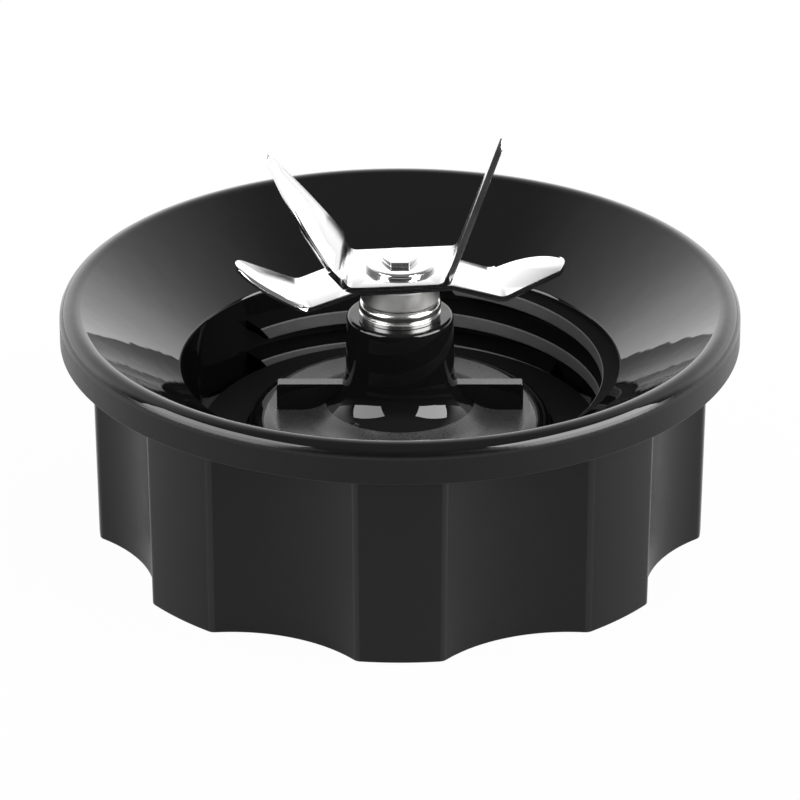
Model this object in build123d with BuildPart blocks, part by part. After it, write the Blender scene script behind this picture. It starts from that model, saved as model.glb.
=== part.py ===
from build123d import *
from math import acos, cos, degrees, radians, sin, sqrt, tan
import os

# Blender blade assembly: a jar base with a lobed skirt, a flared dish and a threaded well,
# and a rotor of two folded blades on a shaft that runs in bronze bushings in its hub post.
# Millimetres, +Z up. The origin is on the spin axis, in the plane that the skirt stands on.
# The front, with one skirt lobe in its middle, faces -Y.

# Jar base: rim and dish
rim_radius = 60.0
rim_height = 43.9
rim_round = 2.4
rim_band = 7.0
rim_wall = 2.6
dish_slope = 34.0
dish_wall = 2.8

# Jar base: lobed skirt
lobes = 8
lobe_radius = 54.0
lobe_half_angle = 8.0
lobe_edge_round = 0.8
scallop_depth = 5.3
skirt_wall = 2.8
skirt_draft = 0.7
web_thickness = 2.0
web_recess = 9.0

# Jar base: threaded well
well_radius = 38.7
well_wall = 2.8
lip_round = 1.5
floor_wall = 2.8
thread_pitch = 6.35
thread_depth = 2.8
thread_crest = 2.45
thread_flank = 1.3
thread_root_bite = 0.6
thread_end_angle = 129.0
thread_gap = 80.0
thread_entry_angle = 75.0
thread_runout = 90.0
thread_drop = 7.16
thread_trim = 0.65

# Jar base: plateau, ribs and hub post
plateau_rise = 7.3
plateau_round = 3.8
rib_setback = 5.1
rib_rise = 5.0
rib_thickness = 2.4
rib_edge_round = 0.4
hub_radius = 9.46
hub_rise = 18.3
hub_edge_round = 0.7
hub_foot_round = 4.0
hub_draft = 0.9
boss_drop = 5.7

# Jar gasket
gasket_thickness = 3.2
gasket_width = 8.1
gasket_inner_gap = 0.4
gasket_outer_gap = 0.4
gasket_edge_round = 0.3

# Bearing sleeve, bushings and seal
sleeve_radius = 6.3
collar_radius = 7.25
collar_height = 3.0
collar_round = 1.0
collar_groove_height = 1.1
collar_groove_depth = 0.3
sleeve_tail = 1.0
bushing_radius = 5.2
bushing_length = 9.0
bushing_edge = 0.4
seal_radius = 5.8
seal_height = 3.2
seal_lip = 0.8
seal_lip_length = 1.2
seal_sink = 0.4

# Shaft and the pieces on it
shaft_radius = 3.5
hex_corner_radius = 2.9
rivet_corner_radius = 3.25
rivet_height = 0.85
rivet_edge_round = 0.25
spacer_radius = 6.94
spacer_height = 3.65
spacer_edge = 0.3
sheet = 1.1
washer_radius = 6.25
washer_thickness = 1.1
washer_edge_round = 0.3

# Thrust washer, retaining ring and drive coupling
thrust_radius = 6.0
thrust_thickness = 1.0
ring_radius = 5.6
ring_thickness = 0.9
ring_groove_depth = 0.6
ring_mouth = 4.0
coupling_recess = 2.0
coupling_radius = 15.0
coupling_flange = 2.5
coupling_boss_radius = 8.0
coupling_boss_rise = 1.1
teeth = 6
tooth_height = 5.0
tooth_half_angle = 9.0
tooth_round = 0.6
insert_corner_radius = 5.4
insert_wall = 1.2
insert_cap = 0.8
shaft_end_radius = 3.0
shaft_end_sink = 0.8

# Upper blade: platform and two raised wings
upper_platform_left = 8.6
upper_platform_right = 8.6
upper_platform_half_depth = 8.04
upper_platform_turn = 6.0
upper_fold_turn = -1.5
right_fold_turn = -8.2
upper_fold_round = 1.4
upper_rise_left = 56.0
upper_rise_right = 70.6
wing_length = 25.7
right_wing_length = 27.0
wing_heel_width = 11.3
wing_heel_start = 5.0
wing_belly_width = 8.4
wing_belly_length = 15.6
wing_spine_width = 9.5
wing_spine_start = 2.9
wing_back_width = 4.0
wing_back_length = 18.3
wing_relief = 1.4
bevel = 0.75

# Lower blade: platform, two dropped arms and their raised tips
lower_turn = 10.2
lower_half_width = 6.8
lower_fold = 8.5
lower_fold_round = 1.6
lower_drop = 19.0
tip_fold = 17.25
tip_fold_round = 2.2
tip_rise = 24.0
tip_fold_lead = 5.6
tip_trail_width = 7.0
tip_belly_length = 24.2
tip_belly_width = 2.9
tip_point_length = 28.1
tip_point_width = -2.4
tip_reach = 28.5
tip_reach_width = -4.9
tip_heel_length = 27.2

# Fits
run_gap = 0.2
shaft_clearance = 0.04
fit_clearance = 0.03
stack_gap = 0.3

# Scallop circle that follows from the lobes
scallop_half_gap = radians(180 / lobes - lobe_half_angle)
scallop_chord = lobe_radius * sin(scallop_half_gap)
scallop_sag = lobe_radius * cos(scallop_half_gap) - lobe_radius + scallop_depth
scallop_radius = (scallop_chord**2 + scallop_sag**2) / (2 * scallop_sag)
scallop_centre = lobe_radius - scallop_depth + scallop_radius

# Radii that follow from the sizes above
gasket_radius = well_radius - thread_depth - gasket_outer_gap
plateau_radius = gasket_radius - gasket_width - gasket_inner_gap
rib_reach = plateau_radius - rib_setback
hub_foot_radius = hub_radius + hub_rise * tan(radians(hub_draft))

# Heights of the rim and the dish
lip_angle = radians(dish_slope)
rim_round_height = rim_height - rim_round
rim_apex = rim_round_height + rim_round / cos(lip_angle) + rim_round * tan(lip_angle)
band_foot = rim_height - rim_band
lip_height = rim_apex - (rim_radius - well_radius) * tan(lip_angle)
dish_drop = dish_wall / cos(lip_angle)

# Heights of the drive pieces, the hub post and the blades, from the foot of the skirt up
tooth_top = coupling_recess + tooth_height
coupling_top = tooth_top + coupling_flange + coupling_boss_rise
ring_foot = coupling_top + stack_gap
thrust_foot = ring_foot + ring_thickness
sleeve_foot = thrust_foot + thrust_thickness + run_gap
boss_foot = sleeve_foot + sleeve_tail
plateau_foot = boss_foot + boss_drop
plateau_height = plateau_foot + floor_wall
floor_height = plateau_height - plateau_rise
floor_foot = floor_height - floor_wall
hub_height = plateau_height + hub_rise
collar_top = hub_height + collar_height
spacer_foot = collar_top + run_gap
lower_foot = spacer_foot + spacer_height
upper_foot = lower_foot + sheet
washer_foot = upper_foot + sheet
rivet_foot = washer_foot + washer_thickness


def dish_height(radius, drop=0.0):
    """Height of the dish, or of a parallel face that lies below it by the drop."""
    return rim_apex - (rim_radius - radius) * tan(lip_angle) - drop


def around(radius, angle):
    """Point at a radius and an angle in degrees, counted from +X."""
    return (radius * cos(radians(angle)), radius * sin(radians(angle)))


def lobed_face(inset):
    """Skirt outline, moved inwards by the inset: lobes with a concave scallop between each pair."""
    half_pitch = 180 / lobes
    outer = lobe_radius - inset
    hollow = scallop_radius + inset
    gap_cosine = (scallop_centre**2 + outer**2 - hollow**2) / (2 * scallop_centre * outer)
    half_lobe = half_pitch - degrees(acos(gap_cosine))
    with BuildSketch(mode=Mode.PRIVATE) as face:
        with BuildLine():
            for lobe in range(lobes):
                middle = -90 + 2 * half_pitch * lobe
                start = around(outer, middle - half_lobe)
                end = around(outer, middle + half_lobe)
                following = around(outer, middle + 2 * half_pitch - half_lobe)
                ThreePointArc(start, around(outer, middle), end)
                ThreePointArc(end, around(scallop_centre - hollow, middle + half_pitch), following)
        make_face()
        fillet(face.vertices(), radius=lobe_edge_round)
    return face.sketch


def thread_ridge(start_angle, span, middle_height):
    """Ridge of the jar thread: a trapezoid swept up a right-hand helix inside the well."""
    half_crest = thread_crest / 2
    half_root = half_crest + thread_flank * (thread_depth + thread_root_bite) / thread_depth
    crest_radius = well_radius - thread_depth
    root_radius = well_radius + thread_root_bite
    with BuildPart(mode=Mode.PRIVATE) as ridge:
        with BuildLine() as path:
            Helix(pitch=thread_pitch, height=thread_pitch * span / 360, radius=well_radius)
        with BuildSketch(Plane.XZ):
            with BuildLine():
                Polyline(
                    (root_radius, -half_root),
                    (crest_radius, -half_crest),
                    (crest_radius, half_crest),
                    (root_radius, half_root),
                    close=True,
                )
            make_face()
        sweep(path=path.wires()[0], is_frenet=True)
    return Pos(0, 0, middle_height) * Rot(0, 0, start_angle) * ridge.part


def hex_face(corner_radius):
    """Hexagon with a flat side to the front."""
    with BuildSketch(mode=Mode.PRIVATE) as face:
        RegularPolygon(radius=corner_radius, side_count=6, major_radius=True)
    return face.sketch


def upright_plane(turn, height):
    """Upright plane through the axis: local X runs outwards at the turn, local Y is up."""
    along = (cos(radians(turn)), sin(radians(turn)), 0)
    across = (sin(radians(turn)), -cos(radians(turn)), 0)
    return Plane(origin=(0, 0, height), x_dir=along, z_dir=across)


def folded_face(corners, rounds):
    """Section of a folded sheet, from the line of its upper face and a round for each fold."""
    with BuildSketch(mode=Mode.PRIVATE) as face:
        with BuildLine() as line:
            Polyline(*corners)
            for corner, size in zip(corners[1:-1], rounds):
                fillet(line.vertices().sort_by_distance((corner[0], corner[1], 0))[0], radius=size)
            offset(amount=sheet, side=Side.RIGHT)
        make_face()
    return face.sketch


def wing_plane(level, side, fold, height, angle):
    """Upper face of a wing: local X points to its leading edge, Y up the wing, Z out of its underside."""
    origin = level.from_local_coords((side * fold, 0, height))
    lead = level.from_local_coords((side * fold, side, height)) - origin
    climb = (side * (fold + cos(radians(angle))), 0, height + sin(radians(angle)))
    return Plane(origin=origin, x_dir=lead, z_dir=lead.cross(level.from_local_coords(climb) - origin))


def bevel_wedge(face, heel, belly, tip, into):
    """Wedge ground off a face of a wing along the arc of its leading edge, into the sheet."""
    clear = (heel[0] + tip[1], heel[1])
    with BuildPart(mode=Mode.PRIVATE) as wedge:
        with BuildSketch(face):
            start, middle, end = [(x - bevel, y) for x, y in (heel, belly, tip)]
            with BuildLine():
                ThreePointArc(start, middle, end)
                Polyline(end, (clear[0], end[1]), clear, start)
            make_face()
        extrude(amount=bevel * sqrt(2), dir=face.x_dir + into)
    return wedge.part


def tooth_face():
    """Dog tooth of the coupling: a wedge from inside the boss to the flange edge."""
    inner = coupling_boss_radius - insert_wall
    with BuildSketch(mode=Mode.PRIVATE) as face:
        with BuildLine():
            start = around(coupling_radius, -tooth_half_angle)
            end = around(coupling_radius, tooth_half_angle)
            ThreePointArc(start, (coupling_radius, 0), end)
            Polyline(end, around(inner, tooth_half_angle), around(inner, -tooth_half_angle), start)
        make_face()
        fillet(face.vertices().sort_by(Axis.X)[-2:], radius=tooth_round)
    return face.sketch


# Ridges of the jar thread, of which the upper turn is cut level below the lip of the well
full_span = 360 - thread_gap
end_height = lip_height - thread_drop
start_height = end_height - thread_pitch * full_span / 360
start_angle = thread_end_angle - full_span
entry_span = thread_entry_angle - start_angle
runout_angle = thread_end_angle - thread_runout
runout_height = end_height - thread_pitch - thread_pitch * thread_runout / 360
main_ridge = thread_ridge(start_angle, full_span, start_height)
runout_ridge = thread_ridge(runout_angle, thread_runout, runout_height)
with BuildPart() as entry_ridge:
    add(thread_ridge(start_angle, entry_span, start_height + thread_pitch))
    with BuildSketch(Plane.XY.offset(lip_height - thread_trim)):
        Circle(well_radius + thread_root_bite)
    extrude(amount=rim_apex, mode=Mode.SUBTRACT)

# Jar base, one moulding
with BuildPart() as jar_base:
    skirt_top = band_foot + rim_band / 2
    flare = skirt_top * tan(radians(skirt_draft))
    for wall, mode in ((0, Mode.ADD), (skirt_wall, Mode.SUBTRACT)):
        with BuildSketch():
            add(lobed_face(wall))
        with BuildSketch(Plane.XY.offset(skirt_top)):
            add(lobed_face(wall - flare))
        loft(ruled=True, mode=mode)
    web_inner = well_radius + well_wall / 2
    web_outer = lobe_radius - skirt_wall / 2
    with BuildSketch(Plane.XY.offset(web_recess)):
        with PolarLocations((web_inner + web_outer) / 2, lobes, start_angle=-90):
            Rectangle(web_outer - web_inner, web_thickness)
    extrude(amount=band_foot - web_recess)
    with BuildSketch(Plane.XZ):
        with BuildLine():
            middle_of_wall = dish_drop / 2
            Polyline(
                (web_inner, dish_height(web_inner, middle_of_wall)),
                (rim_radius, dish_height(rim_radius, middle_of_wall)),
                (rim_radius, rim_height + rim_apex),
                (web_inner, rim_height + rim_apex),
                close=True,
            )
        make_face()
    revolve(axis=Axis.Z, mode=Mode.SUBTRACT)
    with BuildSketch(Plane.XZ) as section:
        well_outer = well_radius + well_wall
        plateau_inner = plateau_radius - floor_wall
        band_inner = rim_radius - rim_wall
        with BuildLine():
            Polyline(
                (rim_radius, rim_apex),
                (rim_radius, band_foot),
                (band_inner, band_foot),
                (band_inner, dish_height(band_inner, dish_drop)),
                (well_outer, dish_height(well_outer, dish_drop)),
                (well_outer, floor_foot),
                (plateau_inner, floor_foot),
                (plateau_inner, plateau_foot),
                (hub_radius, plateau_foot),
                (hub_radius, boss_foot),
                (sleeve_radius + fit_clearance, boss_foot),
                (sleeve_radius + fit_clearance, hub_height),
                (hub_radius, hub_height),
                (hub_foot_radius, plateau_height),
                (plateau_radius, plateau_height),
                (plateau_radius, floor_height),
                (well_radius, floor_height),
                (well_radius, lip_height),
                close=True,
            )
        make_face()
        rounded = [
            ((rim_radius, rim_apex), rim_round),
            ((well_radius, lip_height), lip_round),
            ((hub_radius, hub_height), hub_edge_round),
            ((hub_foot_radius, plateau_height), hub_foot_round),
            ((plateau_radius, plateau_height), plateau_round),
            ((well_outer, floor_foot), floor_wall),
        ]
        for corner, size in rounded:
            fillet(section.vertices().sort_by_distance((corner[0], corner[1], 0))[0], radius=size)
    revolve(axis=Axis.Z)
    add(entry_ridge.part)
    add(runout_ridge)
    rib_foot = plateau_height - floor_wall / 2
    rib_start = (hub_radius + sleeve_radius) / 2
    with BuildSketch(Plane.XY.offset(rib_foot)):
        with PolarLocations((rib_start + rib_reach) / 2, 2):
            RectangleRounded(rib_reach - rib_start, rib_thickness, rib_edge_round)
    extrude(amount=plateau_height + rib_rise - rib_foot)
    add(main_ridge)

# Flat jar gasket on the floor of the well
with BuildPart() as jar_gasket:
    with BuildSketch(Plane.XY.offset(floor_height)):
        Circle(gasket_radius)
        Circle(gasket_radius - gasket_width, mode=Mode.SUBTRACT)
    extrude(amount=gasket_thickness)
    fillet(jar_gasket.faces().sort_by(Axis.Z)[-1].edges(), radius=gasket_edge_round)

# Turned steel sleeve that holds the bushings, with a rounded collar on the hub post
with BuildPart() as bearing_sleeve:
    bore = bushing_radius + fit_clearance
    seal_bore = seal_radius + fit_clearance
    groove_height = hub_height + collar_groove_height
    with BuildSketch(Plane.XZ) as section:
        with BuildLine():
            Polyline(
                (bore, sleeve_foot),
                (sleeve_radius, sleeve_foot),
                (sleeve_radius, hub_height),
                (collar_radius, hub_height),
                (collar_radius, groove_height - collar_groove_depth),
                (collar_radius - collar_groove_depth, groove_height),
                (collar_radius, groove_height + collar_groove_depth),
                (collar_radius, collar_top),
                (seal_bore, collar_top),
                (seal_bore, collar_top - seal_sink - seal_height),
                (bore, collar_top - seal_sink - seal_height),
                close=True,
            )
        make_face()
        fillet(section.vertices().sort_by_distance((collar_radius, collar_top, 0))[0], radius=collar_round)
    revolve(axis=Axis.Z)

# Two sintered bronze bushings pressed into the ends of the sleeve
upper_bushing_top = collar_top - seal_sink - seal_height - stack_gap
with BuildPart() as upper_bushing:
    with BuildSketch(Plane.XY.offset(upper_bushing_top - bushing_length)):
        Circle(bushing_radius)
        Circle(shaft_radius + shaft_clearance, mode=Mode.SUBTRACT)
    extrude(amount=bushing_length)
    chamfer(upper_bushing.faces().filter_by(Axis.Z).edges(), length=bushing_edge)

with BuildPart() as lower_bushing:
    with BuildSketch(Plane.XY.offset(sleeve_foot)):
        Circle(bushing_radius)
        Circle(shaft_radius + shaft_clearance, mode=Mode.SUBTRACT)
    extrude(amount=bushing_length)
    chamfer(lower_bushing.faces().filter_by(Axis.Z).edges(), length=bushing_edge)

# Rubber lip seal above the upper bushing
with BuildPart() as shaft_seal:
    seal_top = collar_top - seal_sink
    seal_foot = seal_top - seal_height
    lip_radius = shaft_radius + shaft_clearance
    with BuildSketch(Plane.XZ):
        with BuildLine():
            Polyline(
                (seal_radius, seal_foot),
                (seal_radius, seal_top),
                (lip_radius, seal_top),
                (lip_radius, seal_top - seal_lip_length),
                (lip_radius + seal_lip, seal_foot + seal_lip),
                (lip_radius + seal_lip, seal_foot),
                close=True,
            )
        make_face()
    revolve(axis=Axis.Z)

# Steel shaft: bearing length, hexagon for the blades, peened head and a reduced lower end
with BuildPart() as drive_shaft:
    shaft_end = coupling_recess + shaft_end_sink
    with BuildSketch(Plane.XY.offset(coupling_top)):
        Circle(shaft_radius)
    extrude(amount=spacer_foot - coupling_top)
    with BuildSketch(Plane.XY.offset(shaft_end)):
        Circle(shaft_end_radius)
    extrude(amount=coupling_top - shaft_end)
    with BuildSketch(Plane.XY.offset(ring_foot)):
        Circle(shaft_radius)
        Circle(shaft_radius - ring_groove_depth, mode=Mode.SUBTRACT)
    extrude(amount=ring_thickness, mode=Mode.SUBTRACT)
    with BuildSketch(Plane.XY.offset(spacer_foot)):
        add(hex_face(hex_corner_radius))
    extrude(amount=rivet_foot - spacer_foot)
    with BuildSketch(Plane.XY.offset(rivet_foot)):
        add(hex_face(rivet_corner_radius))
    extrude(amount=rivet_height)
    fillet(drive_shaft.faces().sort_by(Axis.Z)[-1].edges(), radius=rivet_edge_round)

# Steel spacer between the sleeve and the blades
with BuildPart() as blade_spacer:
    with BuildSketch(Plane.XY.offset(spacer_foot)):
        Circle(spacer_radius)
        add(hex_face(hex_corner_radius + fit_clearance), mode=Mode.SUBTRACT)
    extrude(amount=spacer_height)
    chamfer(blade_spacer.edges().filter_by(GeomType.CIRCLE), length=spacer_edge)

# Lower blade: one folded strip, its arms dropped and its tips raised
with BuildPart() as lower_blade:
    low = sheet - (tip_fold - lower_fold) * tan(radians(lower_drop))
    strip_end = tip_reach + sheet
    high = low + (strip_end - tip_fold) * tan(radians(tip_rise))
    with BuildSketch(upright_plane(lower_turn, lower_foot)):
        corners = [
            (-strip_end, high),
            (-tip_fold, low),
            (-lower_fold, sheet),
            (lower_fold, sheet),
            (tip_fold, low),
            (strip_end, high),
        ]
        arm_round = lower_fold_round + sheet
        add(folded_face(corners, [tip_fold_round, arm_round, arm_round, tip_fold_round]))
    extrude(amount=lower_half_width + sheet, both=True)
    level = Plane.XY.offset(lower_foot).rotated((0, 0, lower_turn))
    with BuildSketch(level):
        with BuildLine() as outline:
            Line((0, lower_half_width), (tip_fold, tip_fold_lead))
            point = (tip_point_length, tip_point_width)
            heel = (tip_heel_length, -tip_trail_width)
            ThreePointArc((tip_fold, tip_fold_lead), (tip_belly_length, tip_belly_width), point)
            ThreePointArc(point, (tip_reach, tip_reach_width), heel)
            Polyline(heel, (tip_fold, -tip_trail_width), (0, -lower_half_width))
            add(outline.edges(), rotation=180)
        make_face()
    extrude(amount=tip_reach, both=True, mode=Mode.INTERSECT)
    for side in (1, -1):
        tip_face = wing_plane(level, side, tip_fold, low, tip_rise)
        stretch = 1 / cos(radians(tip_rise))
        bevel_heel = (tip_fold_lead, 0)
        bevel_belly = (tip_belly_width, (tip_belly_length - tip_fold) * stretch)
        bevel_tip = (tip_point_width, (tip_point_length - tip_fold) * stretch)
        add(bevel_wedge(tip_face, bevel_heel, bevel_belly, bevel_tip, tip_face.z_dir), mode=Mode.SUBTRACT)
    with BuildSketch(Plane.XY.offset(lower_foot)):
        add(hex_face(hex_corner_radius + fit_clearance))
    extrude(amount=sheet, mode=Mode.SUBTRACT)

# Upper blade: a platform with two wings folded up at different angles
wings = (
    (-1, upper_platform_left, upper_rise_left, upper_fold_turn, wing_length),
    (1, upper_platform_right, upper_rise_right, right_fold_turn, right_wing_length),
)
with BuildPart() as upper_blade:
    for side, fold, angle, turn, climb in wings:
        run = climb + sheet
        end = (side * (fold + run * cos(radians(angle))), sheet + run * sin(radians(angle)))
        corners = [(-side * fold / 2, sheet), (side * fold, sheet), end]
        with BuildSketch(upright_plane(turn, upper_foot)):
            add(folded_face(corners[::side], [upper_fold_round]))
        extrude(amount=wing_heel_width + sheet, both=True)
    for side, fold, angle, turn, climb in wings:
        level = Plane.XY.offset(upper_foot).rotated((0, 0, turn))
        skew = upper_platform_turn - turn
        with BuildSketch(level) as waste:
            with Locations((side * (fold / 2 + wing_relief) / 2, 0)):
                Rectangle(fold + fold / 2 + wing_relief, 4 * wing_heel_width)
            Rectangle(4 * climb, 2 * upper_platform_half_depth, rotation=skew, mode=Mode.SUBTRACT)
            outer_corners = waste.vertices().sort_by(lambda corner: side * corner.X)[-4:]
            fillet(outer_corners.sort_by(lambda corner: abs(corner.Y))[:2], radius=wing_relief / 2)
        extrude(amount=climb, mode=Mode.SUBTRACT)
        reach = upper_platform_half_depth / cos(radians(skew))
        shear = fold * tan(radians(skew))
        wing_face = wing_plane(level, side, fold, sheet, angle)
        with BuildSketch(wing_face):
            with Locations((0, climb)):
                Rectangle(4 * wing_heel_width, 2 * climb)
            tip = (0, climb)
            heel = (wing_heel_width, wing_heel_start)
            spine = (-wing_spine_width, wing_spine_start)
            belly = (wing_belly_width, wing_belly_length)
            with BuildLine():
                ThreePointArc(heel, belly, tip)
                ThreePointArc(tip, (-wing_back_width, wing_back_length), spine)
                Polyline(spine, (shear - reach, 0), (shear + reach, 0), heel)
            make_face(mode=Mode.SUBTRACT)
        extrude(amount=3 * sheet, both=True, mode=Mode.SUBTRACT)
        under_face = wing_face.offset(sheet)
        add(bevel_wedge(under_face, heel, belly, tip, -wing_face.z_dir), mode=Mode.SUBTRACT)
    with BuildSketch(Plane.XY.offset(upper_foot)):
        add(hex_face(hex_corner_radius + fit_clearance))
    extrude(amount=sheet, mode=Mode.SUBTRACT)

# Washer under the peened head
with BuildPart() as top_washer:
    with BuildSketch(Plane.XY.offset(washer_foot)):
        Circle(washer_radius)
        add(hex_face(hex_corner_radius + fit_clearance), mode=Mode.SUBTRACT)
    extrude(amount=washer_thickness)
    rims = top_washer.edges().filter_by(GeomType.CIRCLE)
    fillet(rims.sort_by(Axis.Z)[-1], radius=washer_edge_round)

# Thrust washer and open retaining ring under the sleeve
with BuildPart() as thrust_washer:
    with BuildSketch(Plane.XY.offset(thrust_foot)):
        Circle(thrust_radius)
        Circle(shaft_radius + fit_clearance, mode=Mode.SUBTRACT)
    extrude(amount=thrust_thickness)

with BuildPart() as retaining_ring:
    with BuildSketch(Plane.XY.offset(ring_foot)):
        Circle(ring_radius)
        Circle(shaft_radius - ring_groove_depth + fit_clearance, mode=Mode.SUBTRACT)
        with Locations((ring_radius, 0)):
            Rectangle(2 * ring_radius, ring_mouth, mode=Mode.SUBTRACT)
    extrude(amount=ring_thickness)

# Moulded coupling with dog teeth, and the metal insert that it is moulded on
with BuildPart() as drive_coupling:
    with BuildSketch(Plane.XY.offset(tooth_top)):
        Circle(coupling_radius)
    extrude(amount=coupling_flange)
    with BuildSketch(Plane.XY.offset(coupling_recess)):
        Circle(coupling_boss_radius)
    extrude(amount=coupling_top - coupling_recess)
    with BuildSketch(Plane.XY.offset(coupling_recess)):
        with PolarLocations(0, teeth):
            add(tooth_face())
    extrude(amount=tooth_height)
    with BuildSketch(Plane.XY.offset(coupling_recess + insert_cap)):
        add(hex_face(insert_corner_radius + fit_clearance))
    extrude(amount=coupling_top - coupling_recess - insert_cap, mode=Mode.SUBTRACT)

with BuildPart() as coupling_insert:
    with BuildSketch(Plane.XY.offset(coupling_recess + insert_cap)):
        add(hex_face(insert_corner_radius))
        Circle(shaft_end_radius + fit_clearance, mode=Mode.SUBTRACT)
    extrude(amount=coupling_top - coupling_recess - insert_cap)

os.makedirs("parts", exist_ok=True)
pieces = {
    "jar_base": jar_base,
    "jar_gasket": jar_gasket,
    "bearing_sleeve": bearing_sleeve,
    "upper_bushing": upper_bushing,
    "lower_bushing": lower_bushing,
    "shaft_seal": shaft_seal,
    "drive_shaft": drive_shaft,
    "blade_spacer": blade_spacer,
    "lower_blade": lower_blade,
    "upper_blade": upper_blade,
    "top_washer": top_washer,
    "thrust_washer": thrust_washer,
    "retaining_ring": retaining_ring,
    "drive_coupling": drive_coupling,
    "coupling_insert": coupling_insert,
}
for name, piece in pieces.items():
    piece.part.label = name
    export_step(piece.part, f"parts/{name}.step")
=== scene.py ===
"""Looks of a blender blade assembly on its CAD frame: moulded jar base, folded blades and drive pieces."""

from math import acos, atan2, cos, pi, radians, sin, tan

import bmesh
import bpy
from bpy.props import FloatProperty, FloatVectorProperty, IntProperty, PointerProperty
from bpy.types import Operator, Panel, PropertyGroup
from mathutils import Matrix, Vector


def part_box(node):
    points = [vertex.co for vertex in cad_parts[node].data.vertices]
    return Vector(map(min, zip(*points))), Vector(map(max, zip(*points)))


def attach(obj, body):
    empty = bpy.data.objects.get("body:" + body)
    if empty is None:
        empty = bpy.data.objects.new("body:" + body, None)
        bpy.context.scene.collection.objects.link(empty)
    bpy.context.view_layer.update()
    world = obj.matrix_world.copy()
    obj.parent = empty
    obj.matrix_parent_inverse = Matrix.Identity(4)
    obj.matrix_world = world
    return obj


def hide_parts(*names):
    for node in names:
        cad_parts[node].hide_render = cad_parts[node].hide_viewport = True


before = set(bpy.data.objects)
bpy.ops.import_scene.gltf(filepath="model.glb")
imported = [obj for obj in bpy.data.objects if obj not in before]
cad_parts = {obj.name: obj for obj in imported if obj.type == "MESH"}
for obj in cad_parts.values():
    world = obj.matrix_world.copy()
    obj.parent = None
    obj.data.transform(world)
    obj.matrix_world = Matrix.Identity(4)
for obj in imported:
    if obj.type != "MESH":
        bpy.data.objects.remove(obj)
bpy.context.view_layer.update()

bl_info = {
    "name": "Blender blade assembly",
    "version": (1, 0, 0),
    "blender": (4, 5, 0),
    "location": "3D View > Sidebar > Blade assembly",
    "description": "Builds the jar base, the blades and the drive pieces of a blender blade assembly",
    "category": "Add Mesh",
}

MM = 0.001
FULL_TURN = 2 * pi

# Meshes: edges sharper than EDGE_ANGLE are crisp, and CAD triangles flatter than FLAT_ANGLE become one face
EDGE_ANGLE = radians(32)
FLAT_ANGLE = radians(0.5)
MERGE_DISTANCE = 1e-7
CAD_MERGE_DISTANCE = 2e-6
TURN_SEGMENTS = 224
RIDGE_STEPS = 128
ARC_STEPS = 8
HALF_ARC_STEPS = ARC_STEPS // 2
EASE_SEGMENTS = 2
LOBE_STEPS = (10, 6, 24, 6)  # face of the lobe, round, scallop, round
SUPPORT_SHARE, SUPPORT_LIMIT = 0.2, 0.1 * MM  # how far support points stand off a round
SQUARE_COSINE = 0.55  # a cut edge of a blade stays below this against every broad face
GRAINED_FOOT = 0.12  # share of the round at the foot of the hub that has the grain of the plateau

# Finishes
NOISE_LOW, NOISE_HIGH = 0.3, 0.7
GRAIN_SHARE = 0.6  # of the fine grain in the mottle; the slow ripple has the rest
FINE_RELIEF = 2e-5
SHEET_STRETCH = (0.03, 1.0, 0.03)

# Stage: the wall fades in across its sides and out towards its top, and the floor colour darkens towards the
# front as painted shade
WHITE = (1, 1, 1, 1)
WALL_SIDES, WALL_TOP, CEILING = (0.1, 0.55), (0.93, 0.36), (0.45, 0.9)
FLOOR_HALF, FLOOR_LEVEL = 3.0, -0.1 * MM
# painted shade: across this span the floor colour goes from the dark front tone to the pale back tone
FLOOR_SHADE_SPAN, FLOOR_SHADE_TONES = (-0.25, 0.25), (0.3, 0.9)
SEEN_WHITE, MIRRORED_WHITE = 0.97, 0.5  # shares of plain white in the floor
SOFTBOX_SIZE, SOFTBOX_PLACE, SOFTBOX_AIM = (1.25, 1.05), (1.06, -0.49, 0.58), (0, 0, 0.03)


def length(name, description, millimetres):
    """Property for a size, written in millimetres and kept in metres."""
    default = millimetres * MM
    return FloatProperty(
        name=name, description=description, default=default, unit="LENGTH", subtype="DISTANCE", precision=5
    )


def angle(name, description, degrees):
    """Property for an angle, written in degrees and kept in radians."""
    default = radians(degrees)
    return FloatProperty(
        name=name, description=description, default=default, unit="ROTATION", subtype="ANGLE"
    )


def colour(name, description, value):
    """Property for a linear colour."""
    return FloatVectorProperty(
        name=name, description=description, default=value, size=3, min=0.0, max=1.0, subtype="COLOR"
    )


def amount(name, description, value):
    """Property for a plain number."""
    return FloatProperty(name=name, description=description, default=value, precision=4)


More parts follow.
